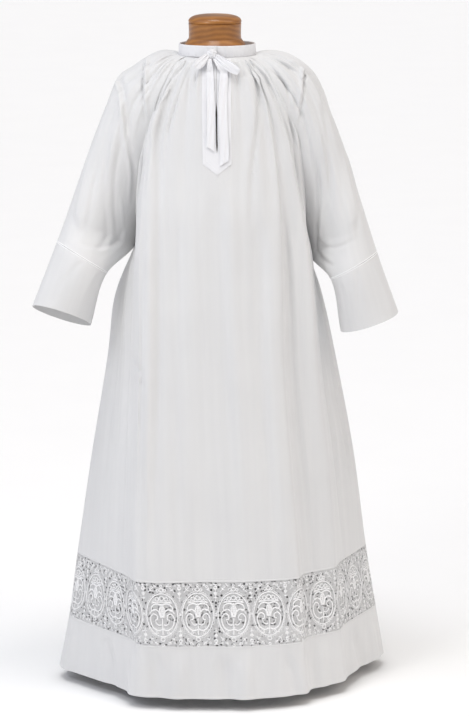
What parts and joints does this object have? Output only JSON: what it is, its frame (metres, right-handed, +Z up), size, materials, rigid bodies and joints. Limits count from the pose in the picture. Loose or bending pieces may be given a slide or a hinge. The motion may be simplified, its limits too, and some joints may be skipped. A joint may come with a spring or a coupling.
{
  "type": "alb robe on dress form",
  "caption": "Long gathered alb with a tied neckband, deep cuffs and a lace band above the hem, on a limbless dress form with a wooden neck block.",
  "frame": {"origin": "on the floor, at the centre of the underside of the stand's foot", "axes": "+Z up; the front of the alb faces -Y; +X is to the right as seen from the front"},
  "size_m": [0.8005, 0.5357, 1.503],
  "materials": {
    "cloth": "plain white poly-cotton, fine weave, soft sheen",
    "lace": "white net lace with raised cord motifs",
    "linen": "natural linen cover, matt",
    "wood": "turned wood, orange-brown satin varnish",
    "steel": "satin dark paint"
  },
  "bodies": {
    "root": {"front_panel": "cloth", "back_panel": "cloth", "sleeve_left": "cloth", "sleeve_right": "cloth", "cuff_left": "cloth", "cuff_right": "cloth", "neckband": "cloth", "placket": "cloth", "tie_knot": "cloth", "tie_loop_left": "cloth", "tie_loop_right": "cloth", "tie_tail_left": "cloth", "tie_tail_right": "cloth", "hem_front": "cloth", "hem_back": "cloth", "lace_front": "lace", "lace_back": "lace", "torso": "linen", "neck_block": "wood", "pole": "steel", "pole_socket": "steel", "stand_foot": "steel"}
  },
  "joints": []
}
